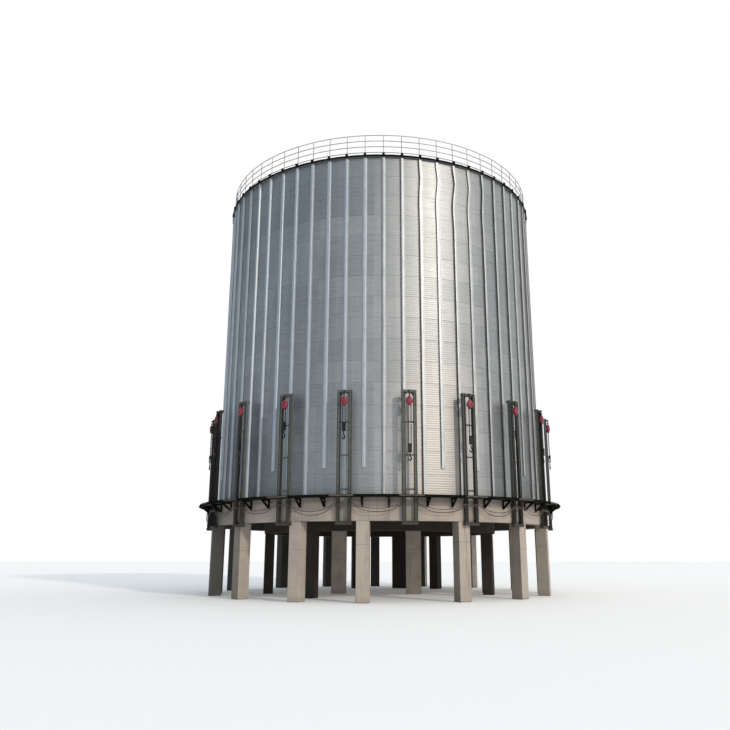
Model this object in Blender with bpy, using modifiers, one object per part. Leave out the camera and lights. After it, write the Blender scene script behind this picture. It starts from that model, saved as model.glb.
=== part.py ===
# Grain silo: a corrugated steel bin on a concrete ring beam and columns, with hoist frames round its base
# Units are metres, +Z is up, z = 0 is the ground and the silo's axis is the Z axis.
# Bearings are in degrees, seen from above: 0 faces -Y, the front, and they grow towards +X.

import math

import bmesh
import bpy

GAP = 0.0003

# Columns and beams of the concrete base
COLUMN_WIDTH = 0.60
COLUMN_SETBACK = 0.02
BEAM_TOP = 4.65
BEAM_BOTTOM = 3.60
BEAM_FACE = 9.56
BEAM_INNER = 8.90
FRONT_COLUMNS = (-71, -47.5, -24.5, -4.7, 24.4, 48, 71)
BACK_COLUMNS = (87, 113, 139, 161.7, 182, 202.4, 224, 253, 272)
FLOOR_THICKNESS = 0.30
INNER_BEAM_RADIUS = 6.30
INNER_BEAM_WIDTH = 0.60
INNER_BEAM_DEPTH = 1.10
INNER_COLUMN_WIDTH = 0.57
INNER_COLUMN_DEPTH = 0.54
INNER_COLUMN_SETBACK = 0.02
INNER_COLUMNS = (-166, -122.7, -82, -33.5, 70, 95.8, 145.4)
WIDE_PIER = (167.3, 1.05)
CORE_COLUMN_WIDTH = 0.82
CORE_COLUMNS = ((2.4, -72.8), (2.22, 58.1))

# Steel shell
WALL_RADIUS = 9.15
WALL_THICKNESS = 0.04
WALL_TOP = 22.26
WALL_PANELS = 6
FACETS = 60
STIFFENERS = 60
FIRST_STIFFENER = 1.24
STIFFENER_BASE = 0.22
STIFFENER_CROWN = 0.15
STIFFENER_DEPTH = 0.11
STIFFENER_TOP = 22.18
SHORT_STIFFENER_FOOT = 6.05
SHORT_STIFFENERS = (3, 5, 9, *range(12, 54, 3), 54, 57, 59)

# Eave, roof and handrail
EAVE_INNER = 9.00
EAVE_OUTER = 9.29
EAVE_TOP = 22.34
EAVE_LIP_DEPTH = 0.09
EAVE_LIP = 0.04
ROOF_EDGE = 9.10
ROOF_SLOPE = 25
ROOF_SHEET = 0.05
ROOF_HOLE = 0.62
RIB_WIDTH = 0.05
RIB_HEIGHT = 0.055
RIB_NEAR = 0.90
RIB_FAR = 9.05
CAP_RADIUS = 0.78
RAIL_FACE = 9.17
RAIL_BAR = 0.04
RAIL_HEIGHTS = (22.54, 22.87, 23.21, 23.54)

# Walkway round the foot of the shell
DECK_INNER = 9.27
DECK_OUTER = 10.16
DECK_THICKNESS = 0.04
EDGE_OUTER = 10.24
EDGE_BOTTOM = 4.63
EDGE_TOP = 4.75
BRACKET_FOOT = 4.21
BRACKET_BAR = 0.07
BRACKET_WIDTH = 0.06
BRACKET_SHIFT = 0.22
STEP_BAR = (1.15, 0.07, 0.07)
STEP_BAR_HEIGHT = 4.66

# Hoist frames
HOIST_FRAMES = 20
STIFFENERS_A_BAY = STIFFENERS // HOIST_FRAMES
FRAME_SHIFT = 0.165
FRAME_WIDTH = 0.70
FRAME_DEPTH = 0.22
FRAME_BOTTOM = 3.41
FRAME_TOP = 9.67
LEG_WIDTH = 0.15
CROSSBEAM = 0.12
RUNG = 0.05
RUNG_HEIGHTS = (5.01, 6.59, 8.14)
FOOT_BAR = (0.76, 0.24, 0.13)
ARM_REACH = 0.12
HOIST_OUT = 9.86
HOIST_RADIUS = 0.16
HOIST_STRETCH = 1.35
HOIST_LENGTH = 0.18
HOIST_HEIGHT = 9.16
CHAIN = 0.05
HOOK_BLOCK = (0.15, 0.13, 0.42)
HOOK_SHANK = 0.40
HOOK_TOPS = {-1: 8.10, 0: 7.10, 1: 7.60, 2: 8.10, -2: 8.30, -3: 7.60}
USUAL_HOOK_TOP = 7.60

# Power cables of the hoists, hung in swags along the beam: two rows, each in two lengths
CABLE_DIAMETER = 0.036
CABLE_ROWS = ((4.36, 0.27), (4.29, 0.35))
SAG_CHANGE = 0.25
SAG_WAVES = 7
CABLE_BAYS = 10
CABLE_LEAD = 0.06
CABLE_FLATNESS = 2.6
CABLE_OUT = 9.825
CABLE_STEPS = (0.0, 2.7, 4.6, 6.8, 9.0, 11.2, 13.4, 15.3)


def clear_scene():
    for old in list(bpy.data.objects):
        bpy.data.objects.remove(old, do_unlink=True)
    for old in list(bpy.data.collections):
        bpy.data.collections.remove(old)


def new_collection(name):
    collection = bpy.data.collections.new(name)
    bpy.context.scene.collection.children.link(collection)
    return collection


def material(name, colour, roughness, metallic):
    made = bpy.data.materials.new(name)
    made.use_nodes = True
    shader = made.node_tree.nodes["Principled BSDF"]
    shader.inputs["Base Color"].default_value = (*colour, 1)
    shader.inputs["Roughness"].default_value = roughness
    shader.inputs["Metallic"].default_value = metallic
    return made


def place(name, data, finish, collection, bearing=0.0):
    # A piece is shaped as it stands at the front, then turned to its bearing
    piece = bpy.data.objects.new(name, data)
    collection.objects.link(piece)
    if not data.materials:
        data.materials.append(finish)
    piece.rotation_euler.z = math.radians(bearing)
    return piece


def stiffener_bearing(index):
    return FIRST_STIFFENER + 360 / STIFFENERS * index


def add_box(shape, size, centre):
    made = bmesh.ops.create_cube(shape, size=1)["verts"]
    bmesh.ops.scale(shape, vec=size, verts=made)
    bmesh.ops.translate(shape, vec=centre, verts=made)
    return made


def mesh_from(shape, name):
    bmesh.ops.recalc_face_normals(shape, faces=shape.faces)
    mesh = bpy.data.meshes.new(name)
    shape.to_mesh(mesh)
    shape.free()
    return mesh


def box_mesh(name, size, centre):
    shape = bmesh.new()
    add_box(shape, size, centre)
    return mesh_from(shape, name)


def outline_mesh(name, loops, thickness):
    # A flat outline with its holes, extruded to both sides of its plane
    curve = bpy.data.curves.new(name, "CURVE")
    curve.dimensions = "2D"
    curve.fill_mode = "BOTH"
    curve.extrude = thickness / 2
    for loop in loops:
        spline = curve.splines.new("POLY")
        spline.points.add(len(loop) - 1)
        for point, (x, y) in zip(spline.points, loop):
            point.co = (x, y, 0, 1)
        spline.use_cyclic_u = True
    return curve_to_mesh(name, curve)


def curve_to_mesh(name, curve):
    guide = bpy.data.objects.new(name + "_guide", curve)
    bpy.context.scene.collection.objects.link(guide)
    bpy.context.view_layer.update()
    seen = guide.evaluated_get(bpy.context.evaluated_depsgraph_get())
    mesh = bpy.data.meshes.new_from_object(seen)
    mesh.name = name
    bpy.data.objects.remove(guide, do_unlink=True)
    bpy.data.curves.remove(curve)
    shape = bmesh.new()
    shape.from_mesh(mesh)
    bmesh.ops.remove_doubles(shape, verts=shape.verts, dist=0.0001)
    bmesh.ops.recalc_face_normals(shape, faces=shape.faces)
    shape.to_mesh(mesh)
    shape.free()
    return mesh


def turned(name, profile, finish, collection, closed=True, steps=FACETS):
    # The profile runs down its outer side. Corners stand half a facet from the stiffeners.
    mesh = bpy.data.meshes.new(name)
    links = [(i, i + 1) for i in range(len(profile) - 1)]
    if closed:
        links.append((len(profile) - 1, 0))
    mesh.from_pydata([(r, 0, z) for r, z in profile], links, [])
    corner = FIRST_STIFFENER + 180 / steps
    piece = place(name, mesh, finish, collection, corner - 90)
    screw = piece.modifiers.new("Turn", "SCREW")
    screw.steps = screw.render_steps = steps
    screw.use_merge_vertices = True
    screw.merge_threshold = 0.0001
    screw.use_normal_calculate = False
    screw.use_smooth_shade = False
    return piece


def corner_radius(face_radius, facets=FACETS):
    return face_radius / math.cos(math.pi / facets)


def join_with(piece, operand, cutters):
    cutters.objects.link(operand)
    operand.hide_render = True
    operand.display_type = "WIRE"
    union = piece.modifiers.new("Join " + operand.name, "BOOLEAN")
    union.operation = "UNION"
    union.solver = "EXACT"
    union.object = operand


def build_columns(group, concrete):
    for number, bearing in enumerate((*FRONT_COLUMNS, *BACK_COLUMNS), 1):
        # The outer face stands a little behind the beam's face, clear of the hoist frames' feet
        out = BEAM_FACE - COLUMN_SETBACK - COLUMN_WIDTH / 2
        mesh = box_mesh("outer_column", (COLUMN_WIDTH, COLUMN_WIDTH, BEAM_BOTTOM - GAP),
                        (0, -out, (BEAM_BOTTOM - GAP) / 2))
        place(f"outer_column_{number:02d}", mesh, concrete, group, bearing)
    slab_bottom = BEAM_TOP - FLOOR_THICKNESS
    for number, (out, bearing) in enumerate(CORE_COLUMNS, 1):
        height = slab_bottom - GAP
        mesh = box_mesh("core_column", (CORE_COLUMN_WIDTH, CORE_COLUMN_WIDTH, height), (0, 0, height / 2))
        column = place(f"core_column_{number}", mesh, concrete, group)
        column.location.x = out * math.sin(math.radians(bearing))
        column.location.y = -out * math.cos(math.radians(bearing))


def build_beams(group, cutters, concrete):
    outer, inner = corner_radius(BEAM_FACE), corner_radius(BEAM_INNER)
    turned("ring_beam", [(outer, BEAM_TOP), (outer, BEAM_BOTTOM), (inner, BEAM_BOTTOM), (inner, BEAM_TOP)],
           concrete, group)
    slab_bottom = BEAM_TOP - FLOOR_THICKNESS
    edge = inner - 2 * GAP
    turned("floor_slab", [(0, BEAM_TOP), (edge, BEAM_TOP), (edge, slab_bottom), (0, slab_bottom)],
           concrete, group, closed=False)
    top = slab_bottom - GAP
    low = slab_bottom - INNER_BEAM_DEPTH
    outer = INNER_BEAM_RADIUS + INNER_BEAM_WIDTH / 2
    inner = INNER_BEAM_RADIUS - INNER_BEAM_WIDTH / 2
    frame = turned("inner_frame", [(outer, top), (outer, low), (inner, low), (inner, top)], concrete, group)
    shape = bmesh.new()
    height = low + INNER_BEAM_DEPTH / 4
    out = INNER_BEAM_RADIUS - INNER_COLUMN_SETBACK
    for bearing, width in (*((column, INNER_COLUMN_WIDTH) for column in INNER_COLUMNS), WIDE_PIER):
        made = add_box(shape, (width, INNER_COLUMN_DEPTH, height), (0, -out, height / 2))
        turn = math.radians(bearing - frame_turn())
        spin(shape, made, turn)
    operand = bpy.data.objects.new("inner_columns", mesh_from(shape, "inner_columns"))
    operand.rotation_euler.z = math.radians(frame_turn())
    join_with(frame, operand, cutters)


def frame_turn():
    return FIRST_STIFFENER + 180 / FACETS - 90


def spin(shape, verts, angle):
    cos, sin = math.cos(angle), math.sin(angle)
    for vert in verts:
        x, y = vert.co.x, vert.co.y
        vert.co.x, vert.co.y = x * cos - y * sin, x * sin + y * cos


def build_wall(group, cutters, steel):
    per_panel = STIFFENERS // WALL_PANELS
    pitch = 360 / STIFFENERS
    facet = pitch / 2
    outer = corner_radius(WALL_RADIUS, 2 * STIFFENERS)
    inner = outer - WALL_THICKNESS
    slit = math.degrees(GAP / WALL_RADIUS)
    for panel in range(WALL_PANELS):
        first = panel * per_panel
        middle = stiffener_bearing(first) + (per_panel - 1) * pitch / 2
        half = per_panel * pitch / 2
        corners = [-half + slit] + [-half + facet * (i + 0.5) for i in range(2 * per_panel)] + [half - slit]
        rim = [(outer * math.sin(math.radians(a)), -outer * math.cos(math.radians(a))) for a in corners]
        back = [(inner * math.sin(math.radians(a)), -inner * math.cos(math.radians(a))) for a in corners]
        height = WALL_TOP - GAP - BEAM_TOP - GAP
        mesh = outline_mesh("wall_panel", [rim + back[::-1]], height)
        wall = place(f"wall_panel_{panel + 1}", mesh, steel, group, middle)
        wall.location.z = BEAM_TOP + GAP + height / 2
        shape = bmesh.new()
        for index in range(first, first + per_panel):
            foot = SHORT_STIFFENER_FOOT if index in SHORT_STIFFENERS else BEAM_TOP + 2 * GAP
            add_stiffener(shape, stiffener_bearing(index), foot)
        operand = bpy.data.objects.new(f"stiffeners_{panel + 1}", mesh_from(shape, "stiffeners"))
        join_with(wall, operand, cutters)


def add_stiffener(shape, bearing, foot):
    # A folded hat: its flanges lie in the wall's face and its crown stands out
    height = STIFFENER_TOP - foot
    sunk = WALL_THICKNESS / 2
    depth = STIFFENER_DEPTH + sunk
    made = add_box(shape, (STIFFENER_BASE, depth, height),
                   (0, -(WALL_RADIUS - sunk + depth / 2), foot + height / 2))
    for vert in made:
        if vert.co.y < -WALL_RADIUS:
            vert.co.x *= STIFFENER_CROWN / STIFFENER_BASE
    spin(shape, made, math.radians(bearing))


def build_roof(group, cutters, galvanised, dark_steel):
    outer = corner_radius(EAVE_OUTER)
    lip = outer - EAVE_LIP
    inner = EAVE_INNER
    low = EAVE_TOP - EAVE_LIP_DEPTH
    turned("eave_ring", [(outer, EAVE_TOP), (outer, low), (lip, low), (lip, WALL_TOP),
                         (inner, WALL_TOP), (inner, EAVE_TOP)], dark_steel, group)
    rise = math.tan(math.radians(ROOF_SLOPE))
    seat = EAVE_TOP + GAP
    peak = seat + ROOF_SHEET + (ROOF_EDGE - ROOF_HOLE) * rise
    cone = turned("roof_cone", [(ROOF_HOLE, peak), (ROOF_EDGE, seat + ROOF_SHEET), (ROOF_EDGE, seat),
                                (EAVE_INNER, seat), (ROOF_HOLE, peak - ROOF_SHEET)], galvanised, group)
    add_roof_ribs(cone, cutters, seat + ROOF_SHEET, rise)
    foot = peak - (CAP_RADIUS - ROOF_HOLE) * rise + ROOF_SHEET
    rim = foot + 0.28
    turned("roof_cap", [(0, rim + CAP_RADIUS * rise), (CAP_RADIUS + 0.08, rim), (CAP_RADIUS + 0.08, rim - 0.06),
                        (CAP_RADIUS - 0.05, rim - 0.06), (CAP_RADIUS - 0.05, peak + GAP),
                        (ROOF_HOLE, peak + GAP), (0, peak + GAP)], galvanised, group, closed=False,
           steps=FACETS // 2)


def add_roof_ribs(cone, cutters, surface, rise):
    # One over each stiffener, from the eave to the cap, rising with the sheet
    shape = bmesh.new()
    sunk = ROOF_SHEET / 2
    for index in range(STIFFENERS):
        made = add_box(shape, (RIB_WIDTH, RIB_FAR - RIB_NEAR, RIB_HEIGHT + sunk),
                       (0, -(RIB_FAR + RIB_NEAR) / 2, surface + (RIB_HEIGHT - sunk) / 2))
        for vert in made:
            vert.co.z += (ROOF_EDGE + vert.co.y) * rise
        spin(shape, made, math.radians(stiffener_bearing(index) - frame_turn()))
    operand = bpy.data.objects.new("roof_ribs", mesh_from(shape, "roof_ribs"))
    operand.rotation_euler.z = math.radians(frame_turn())
    join_with(cone, operand, cutters)


def build_handrail(group, steel):
    # Posts and rails are cut from one band of steel: strips of it are left out between the bars
    post = math.degrees(RAIL_BAR / 2 / RAIL_FACE)
    pitch = 360 / STIFFENERS
    bearings = []
    for index in range(STIFFENERS):
        bearings += [stiffener_bearing(index) - post, stiffener_bearing(index) + post]
    levels = [EAVE_TOP + GAP]
    for height in RAIL_HEIGHTS:
        levels += [height - RAIL_BAR / 2, height + RAIL_BAR / 2]
    shape = bmesh.new()
    rows = []
    for level in levels:
        rows.append([shape.verts.new((RAIL_FACE * math.sin(math.radians(b)),
                                      -RAIL_FACE * math.cos(math.radians(b)), level)) for b in bearings])
    count = len(bearings)
    for row in range(len(levels) - 1):
        for column in range(count):
            is_post = column % 2 == 0
            is_rail = row % 2 == 1
            if is_post or is_rail:
                after = (column + 1) % count
                shape.faces.new((rows[row][column], rows[row][after], rows[row + 1][after],
                                 rows[row + 1][column]))
    loose = [v for v in shape.verts if not v.link_faces]
    bmesh.ops.delete(shape, geom=loose, context="VERTS")
    mesh = bpy.data.meshes.new("handrail")
    shape.to_mesh(mesh)
    shape.free()
    rail = place("handrail", mesh, steel, group)
    depth = rail.modifiers.new("Depth", "SOLIDIFY")
    depth.thickness = RAIL_BAR
    depth.offset = -1


def frame_bearing(number):
    return stiffener_bearing(1 + STIFFENERS_A_BAY * number)


def ring_points(face_radius, facets=FACETS):
    radius = corner_radius(face_radius, facets)
    step = 360 / facets
    angles = [math.radians(FIRST_STIFFENER + step * (i + 0.5)) for i in range(facets)]
    return [(radius * math.sin(a), -radius * math.cos(a)) for a in angles]


def build_walkway(group, cutters, dark_steel):
    hole_half = FRAME_WIDTH / 2 + 0.04
    hole = (BEAM_FACE - 0.04, BEAM_FACE + FRAME_DEPTH + 0.05)
    loops = [ring_points(DECK_OUTER - GAP), ring_points(DECK_INNER)]
    for number in range(HOIST_FRAMES):
        turn = math.radians(frame_bearing(number))
        cos, sin = math.cos(turn), math.sin(turn)
        corners = [(FRAME_SHIFT - hole_half, -hole[0]), (FRAME_SHIFT + hole_half, -hole[0]),
                   (FRAME_SHIFT + hole_half, -hole[1]), (FRAME_SHIFT - hole_half, -hole[1])]
        loops.append([(x * cos - y * sin, x * sin + y * cos) for x, y in corners])
    deck = place("walkway_deck", outline_mesh("walkway_deck", loops, DECK_THICKNESS), dark_steel, group)
    deck.location.z = BEAM_TOP + GAP + DECK_THICKNESS / 2

    inner, outer = corner_radius(DECK_OUTER), corner_radius(EDGE_OUTER)
    frame = turned("walkway_frame", [(outer, EDGE_TOP), (outer, EDGE_BOTTOM), (inner, EDGE_BOTTOM),
                                     (inner, EDGE_TOP)], dark_steel, group)
    back, front, top = BEAM_FACE + GAP, DECK_OUTER + 0.02, BEAM_TOP - GAP
    bar = BRACKET_BAR
    rim = [(back, top), (back, BRACKET_FOOT), (back + bar, BRACKET_FOOT), (front, EDGE_BOTTOM + 0.01), (front, top)]
    slope = (EDGE_BOTTOM + 0.01 - BRACKET_FOOT) / (front - back - bar)
    hole_low = BRACKET_FOOT + bar * 1.6
    hole_top = top - bar
    hole_front = back + bar + (hole_top - hole_low) / slope
    window = [(back + bar, hole_low), (hole_front, hole_top), (back + bar, hole_top)]
    bracket = outline_mesh("bracket", [rim, window], BRACKET_WIDTH)
    shape = bmesh.new()
    for index in range(STIFFENERS):
        if index % STIFFENERS_A_BAY == 1:
            continue
        # The second bracket of each bay stands nearer to the next frame
        shift = BRACKET_SHIFT if index % STIFFENERS_A_BAY == 0 else 0
        turn = math.radians(stiffener_bearing(index))
        cos, sin = math.cos(turn), math.sin(turn)
        start = len(shape.verts)
        shape.from_mesh(bracket)
        shape.verts.ensure_lookup_table()
        for vert in shape.verts[start:]:
            # The outline's x runs outwards and its y runs up
            out, up, side = vert.co
            side += shift
            vert.co = (side * cos + out * sin, side * sin - out * cos, up)
    for number in range(HOIST_FRAMES):
        made = add_box(shape, STEP_BAR, (FRAME_SHIFT, -EDGE_OUTER, STEP_BAR_HEIGHT + STEP_BAR[2] / 2))
        spin(shape, made, math.radians(frame_bearing(number)))
    operand = bpy.data.objects.new("brackets", mesh_from(shape, "brackets"))
    bpy.data.meshes.remove(bracket)
    join_with(frame, operand, cutters)


def ladder_loops():
    half = FRAME_WIDTH / 2
    inside = half - LEG_WIDTH
    loops = [[(-half, FRAME_BOTTOM), (half, FRAME_BOTTOM), (half, FRAME_TOP), (-half, FRAME_TOP)]]
    low = FRAME_BOTTOM + CROSSBEAM
    for height in (*RUNG_HEIGHTS, FRAME_TOP - CROSSBEAM + RUNG / 2):
        high = height - RUNG / 2
        loops.append([(-inside, low), (-inside, high), (inside, high), (inside, low)])
        low = height + RUNG / 2
    return loops


def hoist_frame_mesh(hook_top):
    ladder = outline_mesh("ladder", ladder_loops(), FRAME_DEPTH)
    for vert in ladder.vertices:
        x, up, depth = vert.co
        vert.co = (x, depth, up)
    shape = bmesh.new()
    shape.from_mesh(ladder)
    bpy.data.meshes.remove(ladder)
    middle = BEAM_FACE + GAP + FRAME_DEPTH / 2
    bmesh.ops.translate(shape, vec=(0, -middle, 0), verts=shape.verts)
    base = mesh_from(shape, "hoist_frame")
    face = middle + FRAME_DEPTH / 2
    parts = bmesh.new()
    arm_top = FRAME_TOP - 0.02
    reach = face + ARM_REACH
    add_box(parts, (0.10, reach - middle, 0.08), (0, -(reach + middle) / 2, arm_top - 0.04))
    width, depth, thick = FOOT_BAR
    add_box(parts, (width, depth, thick), (0, -(BEAM_FACE + GAP + depth / 2), FRAME_BOTTOM + thick / 2))
    load = bmesh.new()
    top = arm_top - 0.06
    bottom = hook_top - HOOK_BLOCK[2] - HOOK_SHANK
    add_box(load, (CHAIN, CHAIN, top - bottom), (0, -HOIST_OUT, (top + bottom) / 2))
    drum = bmesh.new()
    made = bmesh.ops.create_cone(drum, cap_ends=True, segments=8, radius1=HOIST_RADIUS, radius2=HOIST_RADIUS,
                                 depth=HOIST_LENGTH)["verts"]
    for vert in made:
        x, y, z = vert.co
        vert.co = (x, z - HOIST_OUT, y * HOIST_STRETCH + HOIST_HEIGHT)
    block = bmesh.new()
    add_box(block, HOOK_BLOCK, (0, -HOIST_OUT, hook_top - HOOK_BLOCK[2] / 2))
    return base, [mesh_from(s, "operand") for s in (parts, load, drum, block)]


def build_hoist_frames(group, cutters, frame_steel):
    made = {}
    half = HOIST_FRAMES // 2
    for number in range(HOIST_FRAMES):
        side = number if number < half else number - HOIST_FRAMES
        hook_top = HOOK_TOPS.get(side, USUAL_HOOK_TOP)
        if hook_top not in made:
            made[hook_top] = united_mesh(*hoist_frame_mesh(hook_top))
        frame = place(f"hoist_frame_{number + 1:02d}", made[hook_top], frame_steel, group,
                      frame_bearing(number))
        turn = math.radians(frame_bearing(number))
        frame.location = (FRAME_SHIFT * math.cos(turn), FRAME_SHIFT * math.sin(turn), 0)


def united_mesh(base, operands):
    holder = bpy.data.objects.new("united", base)
    bpy.context.scene.collection.objects.link(holder)
    helpers = []
    for operand in operands:
        helper = bpy.data.objects.new("helper", operand)
        bpy.context.scene.collection.objects.link(helper)
        helpers.append(helper)
        union = holder.modifiers.new("Join", "BOOLEAN")
        union.operation = "UNION"
        union.solver = "EXACT"
        union.object = helper
    bpy.context.view_layer.update()
    seen = holder.evaluated_get(bpy.context.evaluated_depsgraph_get())
    mesh = bpy.data.meshes.new_from_object(seen)
    for old in (holder, *helpers):
        bpy.data.objects.remove(old, do_unlink=True)
    return mesh


def cable_point(bay, step, at_frame, sag):
    # Level in front of a frame's legs, and a hanging curve from leg to leg between the frames
    width = 360 / HOIST_FRAMES
    shift = math.degrees(FRAME_SHIFT / BEAM_FACE)
    bearing = math.radians(frame_bearing(0) + shift + width * bay + step)
    near = CABLE_STEPS[1]
    along = (step - width / 2) / (width / 2 - near)
    hang = max(0.0, 1 - abs(along) ** CABLE_FLATNESS)
    # Some bays hang lower than others, most of all the one left of the front pair of frames
    uneven = 1 + SAG_CHANGE * math.cos(2 * math.pi * SAG_WAVES * (bay + 2) / HOIST_FRAMES)
    return (CABLE_OUT * math.sin(bearing), -CABLE_OUT * math.cos(bearing), at_frame - sag * uneven * hang)


def leg_side_point(number, side, height, clear=GAP):
    # Beside a frame's leg at this height, this far clear of it
    turn = math.radians(frame_bearing(number))
    x = FRAME_SHIFT + side * (FRAME_WIDTH / 2 + clear)
    out = BEAM_FACE + FRAME_DEPTH / 2
    return (x * math.cos(turn) + out * math.sin(turn), x * math.sin(turn) - out * math.cos(turn), height)


def cable_route(first, at_frame, sag):
    last = (first + CABLE_BAYS) % HOIST_FRAMES
    route = [leg_side_point(first, 1, at_frame), leg_side_point(first, 1, at_frame, CABLE_LEAD)]
    for bay in range(first, first + CABLE_BAYS):
        steps = CABLE_STEPS[2 if bay == first else 0:]
        route += [cable_point(bay, step, at_frame, sag) for step in steps]
    return route + [leg_side_point(last, -1, at_frame, CABLE_LEAD), leg_side_point(last, -1, at_frame)]


def build_cables(group, rubber):
    number = 0
    for at_frame, sag in CABLE_ROWS:
        for first in range(0, HOIST_FRAMES, CABLE_BAYS):
            number += 1
            route = cable_route(first, at_frame, sag)
            curve = bpy.data.curves.new(f"hoist_cable_{number}", "CURVE")
            curve.dimensions = "3D"
            curve.bevel_depth = CABLE_DIAMETER / 2
            curve.bevel_resolution = 2
            curve.use_fill_caps = True
            spline = curve.splines.new("POLY")
            spline.points.add(len(route) - 1)
            for point, co in zip(spline.points, route):
                point.co = (*co, 1)
            place(curve.name, curve, rubber, group)


def main():
    clear_scene()
    group = new_collection("grain_silo")
    cutters = new_collection("cutters")
    concrete = material("concrete", (0.36, 0.33, 0.29), 0.85, 0.0)
    shell_steel = material("shell_steel", (0.55, 0.57, 0.60), 0.38, 1.0)
    galvanised = material("roof_steel", (0.55, 0.57, 0.60), 0.45, 1.0)
    dark_steel = material("dark_steel", (0.05, 0.05, 0.05), 0.60, 0.3)
    rail_steel = material("rail_steel", (0.30, 0.30, 0.30), 0.50, 0.6)
    frame_steel = material("frame_steel", (0.06, 0.065, 0.06), 0.60, 0.3)
    rubber = material("cable_rubber", (0.02, 0.02, 0.02), 0.70, 0.0)
    build_columns(group, concrete)
    build_beams(group, cutters, concrete)
    build_wall(group, cutters, shell_steel)
    build_roof(group, cutters, galvanised, dark_steel)
    build_handrail(group, rail_steel)
    build_walkway(group, cutters, dark_steel)
    build_hoist_frames(group, cutters, frame_steel)
    build_cables(group, rubber)


main()
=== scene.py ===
# Looks of the raised grain silo: finishes, corrugated sheets, bolts, rails, hoists, concrete and light
# Metres, +Z up. Bearings are degrees from the front, growing towards +X, as in the CAD model.
import math

import bmesh
import bpy
from mathutils import Matrix, Vector


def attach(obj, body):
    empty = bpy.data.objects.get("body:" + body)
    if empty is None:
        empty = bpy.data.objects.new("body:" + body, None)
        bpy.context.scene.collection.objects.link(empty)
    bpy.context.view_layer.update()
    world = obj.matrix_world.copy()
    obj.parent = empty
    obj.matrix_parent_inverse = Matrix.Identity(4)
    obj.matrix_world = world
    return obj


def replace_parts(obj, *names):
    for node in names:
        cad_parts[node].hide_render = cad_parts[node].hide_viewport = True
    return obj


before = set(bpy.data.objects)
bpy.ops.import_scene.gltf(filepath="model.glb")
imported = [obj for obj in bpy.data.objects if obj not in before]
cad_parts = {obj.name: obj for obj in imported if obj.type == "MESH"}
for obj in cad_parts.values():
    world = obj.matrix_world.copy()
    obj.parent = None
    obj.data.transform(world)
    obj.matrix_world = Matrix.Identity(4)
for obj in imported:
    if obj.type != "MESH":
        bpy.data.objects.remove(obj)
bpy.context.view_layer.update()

silo = {
    "stiffeners": 60,
    "firstStiffener": 1.24,
    "wallRadius": 9.15,
    "wallFoot": 4.6506,
    "wallTop": 22.255,
    "tierHeight": 1.10,
    "framesRound": 20,
    "frameShift": 0.165,
    "beamFace": 9.56,
    "beamTop": 4.65,
    "beamFoot": 3.60,
    "gap": 0.0003,
}
bearingStep = 360 / silo["stiffeners"]
frameStep = 360 / silo["framesRound"]
perDegree = math.pi / 180


def rad(degrees):
    return math.radians(degrees)


def polar(out, bearing, z):
    return Vector((out * math.sin(rad(bearing)), -out * math.cos(rad(bearing)), z))


def stiffenerBearing(index):
    return silo["firstStiffener"] + bearingStep * index


def frameBearing(number):
    return stiffenerBearing(1 + 3 * number)


class Wire:
    # One socket of a node tree; arithmetic on it adds Math nodes
    def __init__(self, graph, socket):
        self.graph = graph
        self.socket = socket

    def maths(self, operation, *others):
        return self.graph.node("ShaderNodeMath", {"operation": operation},
                               {0: self, **dict(enumerate(others, 1))})

    def __add__(self, other):
        return self.maths("ADD", other)

    def __mul__(self, other):
        return self.maths("MULTIPLY", other)

    def __sub__(self, other):
        return self.maths("SUBTRACT", other)

    def __rsub__(self, other):
        return self.graph.node("ShaderNodeMath", {"operation": "SUBTRACT"}, {0: other, 1: self})

    def __truediv__(self, other):
        return self.maths("DIVIDE", other)

    def __neg__(self):
        return self * -1

    def __pow__(self, other):
        return self.maths("POWER", other)

    def sine(self):
        return self.maths("SINE")

    def cosine(self):
        return self.maths("COSINE")

    def floor(self):
        return self.maths("FLOOR")

    def fract(self):
        return self.maths("FRACT")

    def size(self):
        return self.maths("ABSOLUTE")

    def above(self, level):
        return self.maths("GREATER_THAN", level)

    def below(self, level):
        return self.maths("LESS_THAN", level)

    def wrap(self, span):
        return self - (self / span).floor() * span

    def ramp(self, low, high, fromValue=0.0, toValue=1.0):
        # A smooth step from one value to another
        return self.graph.node("ShaderNodeMapRange", {"interpolation_type": "SMOOTHSTEP"},
                               {0: self, 1: low, 2: high, 3: fromValue, 4: toValue})


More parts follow.
